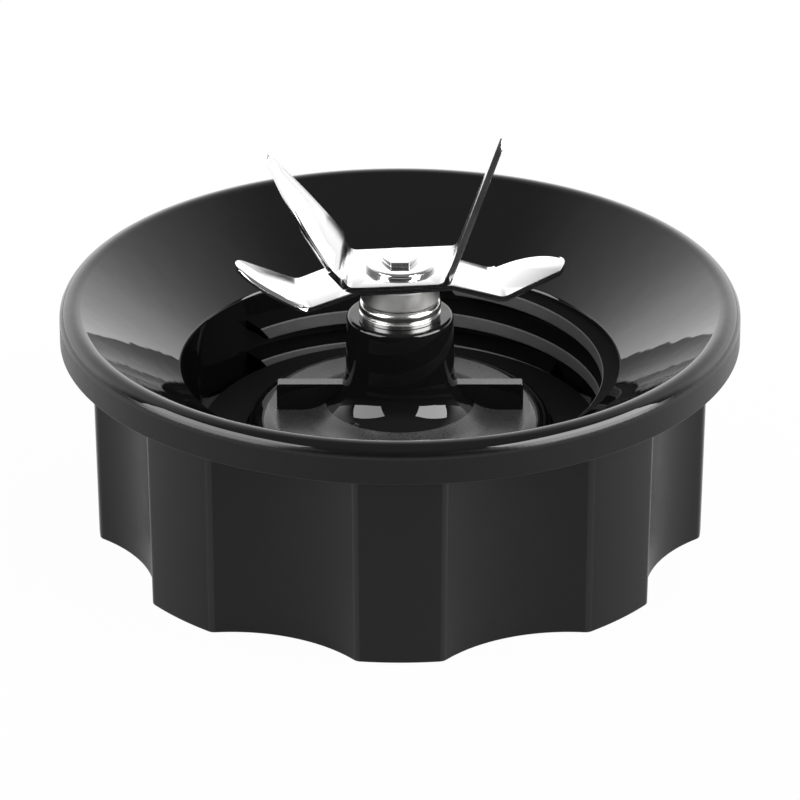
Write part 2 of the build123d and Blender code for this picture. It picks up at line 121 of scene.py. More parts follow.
class JarBaseSizes(PropertyGroup):
    """Sizes of the moulded jar base."""

    rim_radius: length("Rim radius", "Outer radius of the rim band", 60.0)
    rim_height: length("Rim height", "Height of the rim crest above the foot", 43.9)
    rim_round: length("Rim round", "Radius of the crest of the rim", 2.4)
    rim_band: length("Rim band", "Height of the band from its foot to the crest", 7.0)
    rim_wall: length("Rim wall", "Thickness of the band", 2.6)
    dish_slope: angle("Dish slope", "Slope of the flared dish", 34.0)
    wall: length("Wall", "Thickness of the moulded walls", 2.8)
    edge_round: length("Edge round", "Small round on the free edges of the moulding", 0.25)
    lip_radius: length("Well radius", "Radius of the threaded well", 38.7)
    lip_round: length("Lip round", "Round between the well and the dish", 0.9)
    plateau_radius: length("Plateau radius", "Radius of the raised floor round the hub post", 27.0)
    plateau_rise: length("Plateau rise", "Height of the plateau above the floor of the well", 7.3)
    plateau_round: length("Plateau round", "Round of the shoulder of the plateau", 3.8)
    hub_radius: length("Hub radius", "Radius of the hub post", 9.46)
    hub_rise: length("Hub rise", "Height of the hub post above the plateau", 18.3)
    hub_edge_round: length("Hub edge round", "Round of the top edge of the hub post", 0.7)
    hub_foot_round: length("Hub foot round", "Hollow round at the foot of the hub post", 8.0)
    hub_draft: angle("Hub draft", "Draft of the side of the hub post", 0.9)
    boss_drop: length("Boss drop", "Length of the boss under the plateau", 5.7)
    lobes: IntProperty(name="Lobes", description="Number of grip lobes round the skirt", default=8, min=3)
    lobe_radius: length("Lobe radius", "Radius of the skirt at its lobes", 54.0)
    lobe_half_angle: angle("Lobe half angle", "Half of the angle that a lobe covers", 8.0)
    lobe_edge_round: length("Lobe edge round", "Round where a lobe meets a scallop", 1.6)
    scallop_depth: length("Scallop depth", "Depth of the scallops between the lobes", 5.3)
    skirt_draft: angle("Skirt draft", "Draft of the skirt wall", 0.7)
    web_thickness: length("Web thickness", "Thickness of the webs under the dish", 2.0)
    web_recess: length("Web recess", "Height of the webs above the foot", 9.0)
    rib_reach: length("Rib reach", "Distance from the axis to the end of a rib", 21.9)
    rib_rise: length("Rib rise", "Height of the ribs above the plateau", 5.0)
    rib_thickness: length("Rib thickness", "Thickness of the ribs on the plateau", 2.4)
    rib_edge_round: length("Rib edge round", "Round of the upright edges of the ribs", 0.4)
    rib_ease: length("Rib ease", "Eased upper edge of the ribs", 0.2)


class ThreadSizes(PropertyGroup):
    """Sizes of the jar thread in the well."""

    pitch: length("Pitch", "Rise of the thread in one turn", 6.35)
    depth: length("Depth", "How far the ridges stand out of the wall", 2.8)
    crest: length("Crest", "Height of the flat crest of a ridge", 2.45)
    flank: length("Flank", "Height that each flank adds at the root", 1.3)
    edge_round: length("Edge round", "Round along the edges of the crest", 0.3)
    bite: length("Bite", "How far the root sinks into the wall", 0.6)
    end_angle: angle("End angle", "Where the main ridge ends, counted from +X", 133.0)
    gap: angle("Gap", "Angle without a main ridge", 76.0)
    entry_angle: angle("Entry angle", "Where the upper turn meets the lip", 75.0)
    runout: angle("Run-out", "Angle of the short lower ridge", 94.0)
    drop: length("Drop", "Depth of the ridge end below the lip", 7.09)
    trim: length("Trim", "Depth below the lip at which the upper turn is cut", 0.65)
    slant: amount("Slant", "Lean of the ends of the ridges along the thread for each unit of height", -0.9)


class BladeSizes(PropertyGroup):
    """Sizes that set the edges of the blades apart from their faces."""

    edge_ease: length("Edge ease", "Width of the eased edges of the blade sheet", 0.09)
    broad_face: FloatProperty(
        name="Broad face",
        description="Smallest area of a face of the sheet that is not an edge",
        default=2e-5,
        unit="AREA",
    )


class DriveSizes(PropertyGroup):
    """Sizes of the turned pieces on the axis."""

    gasket_width: length("Gasket width", "Width of the ring of the jar gasket", 8.1)
    gasket_round: length("Gasket round", "Round of the upper edges of the gasket", 0.3)
    sleeve_radius: length("Sleeve radius", "Outer radius of the tube of the bearing sleeve", 6.3)
    sleeve_fit: length("Sleeve fit", "Clearance of the hub post round the sleeve", 0.03)
    sleeve_bore: length("Sleeve bore", "Bore for the bushings", 5.23)
    seal_bore: length("Seal bore", "Bore for the shaft seal", 5.83)
    seal_seat: length("Seal seat", "Depth of the seat of the seal below the collar", 3.6)
    collar_round: length("Collar round", "Round of the collar of the bearing sleeve", 1.0)
    collar_ease: length("Collar ease", "Eased edges of the collar", 0.12)
    groove_height: length("Groove height", "Height of the collar groove above the hub post", 1.1)
    groove_depth: length("Groove depth", "Depth of the groove in the collar", 0.3)
    spacer_bore: length("Spacer bore", "Bore of the spacer", 2.95)
    spacer_ease: length("Spacer ease", "Eased edges of the spacer", 0.3)
    washer_bore: length("Washer bore", "Bore of the top washer", 2.55)
    washer_round: length("Washer round", "Round of the upper edge of the washer", 0.7)
    shaft_ease: length("Shaft ease", "Eased edges of the shaft", 0.06)
    coupling_ease: length("Coupling ease", "Eased edges of the drive coupling", 0.25)


class FinishColours(PropertyGroup):
    """Colours of the finishes."""

    gloss_black: colour("Gloss black", "Polished dish, well and hub", (0.0045, 0.0045, 0.0046))
    satin_black: colour("Satin black", "Satin skirt and rim band, thread flanks", (0.003, 0.003, 0.0031))
    grained_black: colour("Grained black", "Grained plateau and rib tops", (0.038, 0.038, 0.0384))
    # the crests of the thread are coloured a lighter grey than its flanks
    scuffed_black: colour("Scuffed black", "Scuffed crests of the jar thread", (0.075, 0.075, 0.0757))
    rubber_black: colour("Rubber black", "Gasket and seal", (0.006, 0.006, 0.0062))
    coupling_black: colour("Coupling black", "Moulded drive coupling", (0.014, 0.014, 0.015))
    blade_steel: colour("Blade steel", "Polished stainless sheet, washer and shaft", (0.9, 0.9, 0.9))
    cut_steel: colour("Cut steel", "Stamped edges of the blades", (0.92, 0.92, 0.92))
    turned_steel: colour("Turned steel", "Bearing sleeve and its collar", (0.85, 0.845, 0.83))
    satin_steel: colour("Satin steel", "Spacer and thrust washer", (0.5, 0.497, 0.488))
    bronze: colour("Bronze", "Sintered bushings", (0.4, 0.24, 0.1))
    brass: colour("Brass", "Insert of the coupling", (0.58, 0.42, 0.17))
    spring_steel: colour("Spring steel", "Retaining ring", (0.09, 0.09, 0.095))


class StageSettings(PropertyGroup):
    """Camera and light."""

    view_elevation: angle("View elevation", "Elevation of the camera above the rim", 24.52)
    view_distance: length("View distance", "Distance from the camera to the rim centre", 897.2)
    aim_drop: angle("Aim drop", "How far below the rim centre the camera is aimed", 1.1547)
    lens: amount("Lens", "Focal length for a sensor 36 mm wide", 229.05)
    back_light: amount("Back light", "Strength of the bright wall behind the object", 1.77)
    top_light: amount("Top light", "Strength of the room above the object", 0.17)
    front_light: amount("Front light", "Strength of the dim room in front of the object", 0.04)
    left_power: amount("Left softbox", "Power of the left softbox in watts", 22.5)
    right_power: amount("Right softbox", "Power of the right softbox in watts", 34.0)


class AssemblySettings(PropertyGroup):
    """All settings of the blade assembly."""

    base: PointerProperty(type=JarBaseSizes)
    thread: PointerProperty(type=ThreadSizes)
    blades: PointerProperty(type=BladeSizes)
    drive: PointerProperty(type=DriveSizes)
    colours: PointerProperty(type=FinishColours)
    stage: PointerProperty(type=StageSettings)


def settings():
    """Settings of the assembly in the current scene."""
    return bpy.context.scene.blade_assembly


class Levels:
    """Heights and radii of the jar base that follow from its sizes."""

    def __init__(self, base):
        self.base = base
        slope, crest = base.dish_slope, base.rim_round
        self.rim_apex = base.rim_height - crest + crest / cos(slope) + crest * tan(slope)
        self.band_foot = base.rim_height - base.rim_band
        self.lip = self.dish(base.lip_radius)
        self.dish_drop = base.wall / cos(slope)
        self.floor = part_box("jar_gasket")[0].z
        self.floor_foot = self.floor - base.wall
        self.plateau = self.floor + base.plateau_rise
        self.plateau_foot = self.plateau - base.wall
        self.hub = self.plateau + base.hub_rise
        self.hub_foot_radius = base.hub_radius + base.hub_rise * tan(base.hub_draft)

    def dish(self, radius, drop=0.0):
        """Height of the dish face at a radius, or of a face below it."""
        return self.rim_apex - (self.base.rim_radius - radius) * tan(self.base.dish_slope) - drop


# Outlines


def on_circle(radius, turn):
    """Point on a circle about the axis."""
    return (radius * cos(turn), radius * sin(turn))


def arc(centre, radius, start, sweep, steps):
    """Points along an arc, both ends included."""
    turns = [start + sweep * i / steps for i in range(steps + 1)]
    return [Vector((centre[0] + radius * cos(turn), centre[1] + radius * sin(turn))) for turn in turns]


def rounded(corners, steps=ARC_STEPS):
    """Closed outline through corners of (x, y, round), with support points that keep the flats flat."""
    outline = []
    for i, (x, y, size) in enumerate(corners):
        here = Vector((x, y))
        if not size:
            outline.append(here)
            continue
        back = Vector(corners[i - 1][:2]) - here
        ahead = Vector(corners[(i + 1) % len(corners)][:2]) - here
        half = back.angle(ahead) / 2
        reach = size / tan(half)
        back.normalize()
        ahead.normalize()
        centre = here + (back + ahead).normalized() * (size / sin(half))
        first = here + back * reach - centre
        turn = pi - 2 * half
        if back.x * ahead.y - back.y * ahead.x > 0:
            turn = -turn
        support = min(SUPPORT_SHARE * size, SUPPORT_LIMIT)
        outline.append(here + back * (reach + support))
        outline += arc(centre, size, atan2(first.y, first.x), turn, steps)
        outline.append(here + ahead * (reach + support))
    return outline


def lobed_outline(base, inset):
    """Outline of the skirt, moved inwards by the inset: lobe, round, scallop, round, and again."""
    half_pitch = pi / base.lobes
    gap = half_pitch - base.lobe_half_angle
    chord = base.lobe_radius * sin(gap)
    sag = base.lobe_radius * cos(gap) - base.lobe_radius + base.scallop_depth
    scallop = (chord**2 + sag**2) / (2 * sag)
    far = base.lobe_radius - base.scallop_depth + scallop
    outer = base.lobe_radius - inset
    hollow = scallop + inset
    size = base.lobe_edge_round
    near, wide = outer - size, hollow + size
    lean = acos((near**2 + far**2 - wide**2) / (2 * near * far))
    spread = acos((far**2 + wide**2 - near**2) / (2 * far * wide))
    flat, turn = half_pitch - lean, lean + spread
    face, first, dent, last = LOBE_STEPS
    outline = []
    for lobe in range(base.lobes):
        middle = -pi / 2 + 2 * half_pitch * lobe
        dip = middle + half_pitch
        outline += arc((0, 0), outer, middle - flat, 2 * flat, face)[:-1]
        outline += arc(on_circle(near, dip - lean), size, dip - lean, turn, first)[:-1]
        outline += arc(on_circle(far, dip), hollow, dip + pi + spread, -2 * spread, dent)[:-1]
        outline += arc(on_circle(near, dip + lean), size, dip + lean - turn, turn, last)[:-1]
    return outline


# Meshes


def linked(name, data):
    """New object with this mesh, lamp or camera, in the scene."""
    obj = bpy.data.objects.new(name, data)
    bpy.context.scene.collection.objects.link(obj)
    return obj


def finish_mesh(name, bm):
    """Object from a closed bmesh: doubles merged, faces outwards, smooth with crisp edges."""
    bmesh.ops.remove_doubles(bm, verts=bm.verts[:], dist=MERGE_DISTANCE)
    bmesh.ops.recalc_face_normals(bm, faces=bm.faces[:])
    mesh = bpy.data.meshes.new(name)
    bm.to_mesh(mesh)
    bm.free()
    mesh.shade_smooth()
    mesh.set_sharp_from_angle(angle=EDGE_ANGLE)
    return linked(name, mesh)


def skinned(name, rings, closed=True):
    """Object of quads between rings of points; the last ring joins the first, or else both are capped."""
    bm = bmesh.new()
    rows = [[bm.verts.new(point) for point in ring] for ring in rings]
    for row, following in zip(rows, rows[1:] + rows[:1] if closed else rows[1:]):
        for j in range(len(row)):
            k = (j + 1) % len(row)
            bm.faces.new([row[j], row[k], following[k], following[j]])
    if not closed:
        bm.faces.new(rows[0][::-1])
        bm.faces.new(rows[-1])
    return finish_mesh(name, bm)


def turned(name, corners):
    """Piece turned about the axis from a closed outline of (radius, height, round)."""
    outline = rounded(corners)
    turns = [FULL_TURN * i / TURN_SEGMENTS for i in range(TURN_SEGMENTS)]
    return skinned(name, [[(*on_circle(point.x, turn), point.y) for point in outline] for turn in turns])


def turned_ring(name, node, bore, *rounds):
    """Ring in the box of a CAD node, with rounds at its inner foot, outer foot, outer top and inner top."""
    low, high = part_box(node)
    corners = [(bore, low.z), (high.x, low.z), (high.x, high.z), (bore, high.z)]
    return turned(name, [(*corner, size) for corner, size in zip(corners, rounds)])


def prism(name, outline, low, high, ease):
    """Closed prism over an outline, its upper edge eased."""
    centre = sum(outline, Vector((0, 0))) / len(outline)
    rings = []
    for level, inset in ((low, 0.0), (high - ease, 0.0), (high, ease)):
        rings.append([(*(point + (centre - point).normalized() * inset), level) for point in outline])
    return skinned(name, rings, closed=False)


def mark_cut_edges(bm, broad):
    """Second material for the narrow faces that stand square to the broad faces of a folded sheet."""
    normals = [face.normal.copy() for face in bm.faces if face.calc_area() > broad]
    for face in bm.faces:
        square = [abs(face.normal.dot(normal)) for normal in normals]
        face.material_index = int(max(square) < SQUARE_COSINE)


def baked(obj):
    """The object with its modifiers turned into a plain mesh."""
    graph = bpy.context.evaluated_depsgraph_get()
    mesh = bpy.data.meshes.new_from_object(obj.evaluated_get(graph))
    obj.modifiers.clear()
    obj.data = mesh
    mesh.shade_smooth()
    mesh.set_sharp_from_angle(angle=EDGE_ANGLE)
    return obj


def eased_copy(node, name, width, broad=0.0):
    """Copy of a CAD node with its triangles merged into faces and its edges eased."""
    bm = bmesh.new()
    bm.from_mesh(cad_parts[node].data)
    bmesh.ops.remove_doubles(bm, verts=bm.verts[:], dist=CAD_MERGE_DISTANCE)
    bmesh.ops.dissolve_limit(
        bm, angle_limit=FLAT_ANGLE, use_dissolve_boundaries=False, verts=bm.verts[:], edges=bm.edges[:]
    )
    if broad:
        mark_cut_edges(bm, broad)
    obj = finish_mesh(name, bm)
    ease = obj.modifiers.new("Eased edges", "BEVEL")
    ease.limit_method = "ANGLE"
    ease.angle_limit = EDGE_ANGLE
    ease.width = width
    ease.segments = EASE_SEGMENTS
    ease.use_clamp_overlap = True
    return baked(obj)


def paint(obj, *materials):
    """Gives the object its materials, of which the first covers it."""
    obj.data.materials.clear()
    for material in materials:
        obj.data.materials.append(material)
    return obj


def stand_in(obj, body, slot, *nodes):
    """Lets a piece ride on its body and stand for CAD nodes."""
    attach(obj, body)
    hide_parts(*nodes)


# Node trees


class Wiring:
    """Adds nodes to a tree, each with its options, its constants and the outputs that feed it."""

    def __init__(self, tree):
        self.tree = tree

    def add(self, kind, inputs=None, **options):
        """New node with its options and its inputs set."""
        node = self.tree.nodes.new(kind)
        for option, value in options.items():
            setattr(node, option, value)
        self.feed(node, inputs or {})
        return node

    def feed(self, node, inputs):
        """Sets inputs of a node, each to a constant, an output or the first output of another node."""
        for socket, value in inputs.items():
            if isinstance(value, bpy.types.Node):
                value = value.outputs[0]
            if isinstance(value, bpy.types.NodeSocket):
                self.tree.links.new(value, node.inputs[socket])
            else:
                node.inputs[socket].default_value = value

    def maths(self, operation, *inputs):
        """New Math node with its inputs in order."""
        return self.add("ShaderNodeMath", dict(enumerate(inputs)), operation=operation)

    def ramp(self, value, start, end, low=0.0, high=1.0, kind="LINEAR"):
        """New Map Range node, which goes from low at the start to high at the end."""
        inputs = {"Value": value, "From Min": start, "From Max": end, "To Min": low, "To Max": high}
        return self.add("ShaderNodeMapRange", inputs, interpolation_type=kind)

    def parts(self, vector):
        """Outputs of a new Separate XYZ node."""
        return self.add("ShaderNodeSeparateXYZ", {0: vector}).outputs

    def joined(self, **axes):
        """New Combine XYZ node."""
        return self.add("ShaderNodeCombineXYZ", axes)

    def noise(self, vector, scale, detail, **options):
        """New Noise Texture node."""
        return self.add("ShaderNodeTexNoise", {"Vector": vector, "Scale": scale, "Detail": detail}, **options)


def new_group(name, kind, inputs, outputs):
    """Wiring of a new node group, its entries and its end; sockets are given as (name, type, default)."""
    group = bpy.data.node_groups.new(name, kind)
    for direction, sockets in (("INPUT", inputs), ("OUTPUT", outputs)):
        for socket_name, socket_type, *default in sockets:
            socket_type = f"NodeSocket{socket_type}"
            socket = group.interface.new_socket(socket_name, in_out=direction, socket_type=socket_type)
            if default:
                socket.default_value = default[0]
    wiring = Wiring(group)
    return wiring, wiring.add("NodeGroupInput").outputs, wiring.add("NodeGroupOutput")


def new_shape_tree(name, *inputs):
    """Group for a geometry node tree, which takes geometry and a material besides its own inputs."""
    geometry = ("Geometry", "Geometry")
    return new_group(name, "GeometryNodeTree", [geometry, *inputs, ("Material", "Material")], [geometry])


def close_shape_tree(wiring, entry, end, geometry):
    """Ends a geometry node tree: instances made real, material set."""
    real = wiring.add("GeometryNodeRealizeInstances", {0: geometry})
    painted = wiring.add("GeometryNodeSetMaterial", {"Geometry": real, "Material": entry["Material"]})
    wiring.feed(end, {0: painted})
    return wiring.tree


def polar_copies_tree():
    """Geometry nodes: copies of the geometry round the axis."""
    wiring, entry, end = new_shape_tree("Polar copies", ("Count", "Int", 8), ("Start angle", "Float", 0.0))
    single = wiring.add("GeometryNodeGeometryToInstance", {0: entry["Geometry"]})
    copies = wiring.add(
        "GeometryNodeDuplicateElements", {"Geometry": single, "Amount": entry["Count"]}, domain="INSTANCE"
    )
    step = wiring.maths("DIVIDE", FULL_TURN, entry["Count"])
    turn = wiring.maths("MULTIPLY_ADD", copies.outputs["Duplicate Index"], step, entry["Start angle"])
    spread = wiring.add(
        "GeometryNodeRotateInstances",
        {"Instances": copies, "Rotation": wiring.joined(Z=turn), "Local Space": False},
    )
    return close_shape_tree(wiring, entry, end, spread)


def thread_tree():
    """Geometry nodes: a ridge swept up a helix from its section, and cut level at the trim height."""
    wiring, entry, end = new_shape_tree(
        "Thread ridge",
        ("Radius", "Float", 0.0387),
        ("Pitch", "Float", 0.00635),
        ("Turns", "Float", 1.0),
        ("Start angle", "Float", 0.0),
        ("Start height", "Float", 0.0),
        ("Trim height", "Float", 1.0),
        ("End slant", "Float", 1.0),
        ("Steps", "Int", RIDGE_STEPS),
    )
    position = wiring.add("GeometryNodeInputPosition")
    section = wiring.add("GeometryNodeMeshToCurve", {0: entry["Geometry"]})
    keep = wiring.add("GeometryNodeCaptureAttribute")
    keep.capture_items.new("VECTOR", "Section place")
    wiring.feed(keep, {"Geometry": section, "Section place": position})
    helix = wiring.add(
        "GeometryNodeCurveSpiral",
        {
            "Resolution": entry["Steps"],
            "Rotations": entry["Turns"],
            "Start Radius": entry["Radius"],
            "End Radius": entry["Radius"],
            "Height": wiring.maths("MULTIPLY", entry["Pitch"], entry["Turns"]),
            "Reverse": True,
        },
    )
    upright = wiring.add("GeometryNodeSetCurveNormal", {"Curve": helix}, mode="Z_UP")
    sweep = wiring.add(
        "GeometryNodeCurveToMesh", {"Curve": upright, "Profile Curve": keep, "Fill Caps": True}
    )
    place = wiring.add(
        "GeometryNodeTransform",
        {
            "Geometry": sweep,
            "Translation": wiring.joined(Z=entry["Start height"]),
            "Rotation": wiring.joined(Z=entry["Start angle"]),
        },
    )
    across = wiring.parts(keep.outputs["Section place"])
    slant = wiring.maths("MULTIPLY", across["Y"], entry["End slant"])
    shift = wiring.maths("DIVIDE", slant, entry["Radius"])
    climb = wiring.maths("MULTIPLY", wiring.maths("DIVIDE", shift, FULL_TURN), entry["Pitch"])
    screw = wiring.add("ShaderNodeVectorRotate", {"Vector": position, "Angle": shift}, rotation_type="Z_AXIS")
    split = wiring.parts(screw)
    raised = wiring.maths("ADD", split["Z"], climb)
    trimmed = wiring.maths("MINIMUM", raised, entry["Trim height"])
    target = wiring.joined(X=split["X"], Y=split["Y"], Z=trimmed)
    moved = wiring.add("GeometryNodeSetPosition", {"Geometry": place, "Position": target})
    return close_shape_tree(wiring, entry, end, moved)


def run_tree(obj, tree, values):
    """Runs a geometry node tree on an object, with its inputs set by socket identifier."""
    modifier = obj.modifiers.new(tree.name, "NODES")
    modifier.node_group = tree
    for item in tree.interface.items_tree:
        if item.in_out == "INPUT" and item.name in values:
            modifier[item.identifier] = values[item.name]
    paint(baked(obj), values["Material"])
    obj.data.polygons.foreach_set("material_index", [0] * len(obj.data.polygons))


# Shader groups and finishes


def new_effect(name, second, *inputs):
    """Shader group that puts out a height and a second mask."""
    outputs = [("Height", "Float"), (second, "Float")]
    return new_group(name, "ShaderNodeTree", [("Vector", "Vector"), *inputs], outputs)


def mould_grain():
    """Shader group: fine grain and slow ripple of a moulded surface."""
    name = "Mould grain"
    if name in bpy.data.node_groups:
        return bpy.data.node_groups[name]
    wiring, entry, end = new_effect(
        name, "Mottle", ("Grain", "Float", 3000.0), ("Ripple", "Float", 240.0), ("Waviness", "Float", 0.2)
    )
    fine = wiring.noise(entry["Vector"], entry["Grain"], detail=2.0)
    slow = wiring.noise(entry["Vector"], entry["Ripple"], detail=1.0)
    blend = wiring.add("ShaderNodeMix", {"Factor": entry["Waviness"], "A": fine, "B": slow})
    ripple = wiring.maths("MULTIPLY", slow, 1 - GRAIN_SHARE)
    mottle = wiring.maths("MULTIPLY_ADD", fine, GRAIN_SHARE, ripple)
    wiring.feed(end, {"Height": blend.outputs["Result"], "Mottle": mottle})
    return wiring.tree


def lathe_rings():
    """Shader group: fine rings that a lathe leaves on sides and faces."""
    name = "Lathe rings"
    if name in bpy.data.node_groups:
        return bpy.data.node_groups[name]
    wiring, entry, end = new_effect(name, "Streak", ("Rings", "Float", 5000.0))
    split = wiring.parts(entry["Vector"])
    flat = wiring.joined(X=split["X"], Y=split["Y"])
    radius = wiring.add("ShaderNodeVectorMath", {0: flat}, operation="LENGTH").outputs["Value"]
    both = wiring.joined(X=radius, Y=split["Z"])
    rings = wiring.noise(both, entry["Rings"], detail=4.0, noise_dimensions="2D")
    stain = wiring.noise(entry["Vector"], scale=420.0, detail=3.0)
    wiring.feed(end, {"Height": rings, "Streak": stain})
    return wiring.tree


def rolled_sheet():
    """Shader group: polishing lines along a blade."""
    name = "Rolled sheet"
    if name in bpy.data.node_groups:
        return bpy.data.node_groups[name]
    wiring, entry, end = new_effect(name, "Streak", ("Lines", "Float", 3500.0))
    stretch = wiring.add("ShaderNodeVectorMath", {0: entry["Vector"], 1: SHEET_STRETCH}, operation="MULTIPLY")
    lines = wiring.noise(stretch, entry["Lines"], detail=2.0)
    cloud = wiring.noise(entry["Vector"], scale=160.0, detail=3.0)
    wiring.feed(end, {"Height": lines, "Streak": cloud})
    return wiring.tree


def shade(tint, factor):
    """Opaque colour that is darker or lighter than the tint."""
    return (*[min(1.0, channel * factor) for channel in tint], 1)


def finish(name, group, tint, metallic, roughness, relief, contrast, values=None, specular=0.5):
    """Material, made once, with its roughness, tone and relief (strength, distance) from a shader group."""
    if name in bpy.data.materials:
        return bpy.data.materials[name]
    material = bpy.data.materials.new(name)
    material.use_nodes = True
    wiring = Wiring(material.node_tree)
    place = wiring.add("ShaderNodeTexCoord").outputs["Object"]
    effect = wiring.add("ShaderNodeGroup", {"Vector": place, **(values or {})}, node_tree=group)
    mask = effect.outputs[1]
    tones = {"Factor": mask, "A": shade(tint, 1 - contrast), "B": shade(tint, 1 + contrast)}
    strength, distance = relief
    bumps = {"Strength": strength, "Distance": distance, "Height": effect.outputs["Height"]}
    wiring.feed(
        material.node_tree.nodes["Principled BSDF"],
        {
            "Base Color": wiring.add("ShaderNodeMix", tones, data_type="RGBA").outputs["Result"],
            "Metallic": metallic,
            "Roughness": wiring.ramp(mask, NOISE_LOW, NOISE_HIGH, *roughness),
            "Specular IOR Level": specular,
            "Normal": wiring.add("ShaderNodeBump", bumps),
        },
    )
    return material


# Kinds of black moulding: colour, roughness, relief, contrast, specular level, grain, waviness
MOULDINGS = {
    "Gloss": ("gloss_black", (0.02, 0.05), 3e-5, 0.1, 0.5, 900.0, 0.93),  # dish, well and hub
    "Half-gloss": ("satin_black", (0.18, 0.26), 6e-6, 0.4, 0.4, 2600.0, 0.1),  # rim crest and lobe edges
    "Grained": ("grained_black", (0.24, 0.34), 1.2e-5, 0.5, 0.9, 2600.0, 0.1),  # plateau and rib tops
    "Matte": ("satin_black", (0.6, 0.75), 1.5e-5, 0.4, 0.04, 2600.0, 0.1),  # flanks and ends of the thread
    "Satin": ("satin_black", (0.3, 0.38), 1.6e-5, 0.4, 0.26, 3200.0, 0.05),  # skirt and rim band
    "Scuffed": ("scuffed_black", (0.5, 0.65), 2e-5, 0.5, 0.5, 2600.0, 0.1),  # crests of the thread
}


def moulding(kind):
    """Finish of the jar base of one kind."""
    tint, roughness, relief, contrast, specular, grain, waviness = MOULDINGS[kind]
    name, tint = f"{kind} moulding", getattr(settings().colours, tint)
    values = {"Grain": grain, "Waviness": waviness}
    return finish(name, mould_grain(), tint, 0.0, roughness, (1.0, relief), contrast, values, specular)


def lathed(name, tint, roughness, strength, contrast, rings=5000.0):
    """Finish of a turned metal piece."""
    relief = (strength, FINE_RELIEF)
    return finish(name, lathe_rings(), tint, 1.0, roughness, relief, contrast, {"Rings": rings})


# Operators


class BLADES_OT_shell(Operator):
    """Turn the shell of the jar base: rim, dish, well, plateau and hub post"""

    bl_idname = "blade_assembly.shell"
    bl_label = "Base shell"

    def execute(self, context):
        base, drive = settings().base, settings().drive
        at = Levels(base)
        edge = base.edge_round
        well_outer = base.lip_radius + base.wall
        recess = base.plateau_radius - base.wall
        band_inner = base.rim_radius - base.rim_wall
        sleeve = drive.sleeve_radius + drive.sleeve_fit
        boss_foot = at.plateau_foot - base.boss_drop
        shell = turned(
            "base_shell",
            [
                (base.rim_radius, at.rim_apex, base.rim_round),
                (base.rim_radius, at.band_foot, edge),
                (band_inner, at.band_foot, edge),
                (band_inner, at.dish(band_inner, at.dish_drop), edge),
                (well_outer, at.dish(well_outer, at.dish_drop), edge),
                (well_outer, at.floor_foot, base.wall),
                (recess, at.floor_foot, edge),
                (recess, at.plateau_foot, edge),
                (base.hub_radius, at.plateau_foot, edge),
                (base.hub_radius, boss_foot, edge),
                (sleeve, boss_foot, edge),
                (sleeve, at.hub, edge),
                (base.hub_radius, at.hub, base.hub_edge_round),
                (at.hub_foot_radius, at.plateau, base.hub_foot_round),
                (base.plateau_radius, at.plateau, base.plateau_round),
                (base.plateau_radius, at.floor, 0.0),
                (base.lip_radius, at.floor, 0.0),
                (base.lip_radius, at.lip, base.lip_round),
            ],
        )
        paint(shell, *[moulding(kind) for kind in ("Gloss", "Grained", "Half-gloss", "Satin")])
        grained, half_gloss, satin = 1, 2, 3
        shoulder = base.plateau_radius - base.plateau_round
        foot = base.hub_foot_round * GRAINED_FOOT
        crest_foot, crest_middle = base.rim_height - base.rim_round, base.rim_height - base.rim_round / 2
        for face in shell.data.polygons:
            radius, height = face.center.xy.length, face.center.z
            if radius > band_inner - edge and height < crest_foot:
                face.material_index = satin
            elif radius > base.rim_radius - base.rim_round and height < crest_middle:
                face.material_index = half_gloss
            elif at.hub_foot_radius < radius < shoulder and abs(height - at.plateau) < foot:
                face.material_index = grained
        stand_in(shell, "base", "base_plastic", "jar_base")
        return {"FINISHED"}


class BLADES_OT_skirt(Operator):
    """Loft the lobed skirt with its draft and its eased foot"""

    bl_idname = "blade_assembly.skirt"
    bl_label = "Lobed skirt"

    def execute(self, context):
        base = settings().base
        at = Levels(base)
        top = at.band_foot + base.rim_band / 2
        flare = top * tan(base.skirt_draft)
        ease = base.edge_round
        quarter = [pi / 2 * step / HALF_ARC_STEPS for step in range(HALF_ARC_STEPS + 1)]
        faces = [(lobed_outline(base, wall), lobed_outline(base, wall - flare)) for wall in (0.0, base.wall)]
        columns = []
        for i in range(len(faces[0][0])):
            sides = []
            for low, high in faces:
                lean = (high[i] - low[i]) / top
                reach = at.dish(high[i].length, at.dish_drop / 2)
                sides.append((low[i], lean, reach))
            (outer, outer_lean, outer_top), (inner, inner_lean, inner_top) = sides
            across = (inner - outer).normalized()
            column = [(*(outer + outer_lean * z), z) for z in (outer_top, at.band_foot, 2 * ease, ease)]
            for turn in quarter[1:]:
                column.append((*(outer + across * ease * (1 - cos(turn))), ease * (1 - sin(turn))))
            for turn in quarter[:-1]:
                column.append((*(inner - across * ease * (1 - sin(turn))), ease * (1 - cos(turn))))
            column += [(*(inner + inner_lean * z), z) for z in (ease, inner_top)]
            columns.append(column)
        skirt = skinned("base_skirt", columns)
        paint(skirt, moulding("Satin"), moulding("Half-gloss"))
        face, first, dent, _ = LOBE_STEPS
        for polygon in skirt.data.polygons:
            step = polygon.index // len(columns[0]) % sum(LOBE_STEPS)
            polygon.material_index = int(face <= step < face + first or step >= face + first + dent)
        stand_in(skirt, "base", "base_plastic", "jar_base")
        return {"FINISHED"}


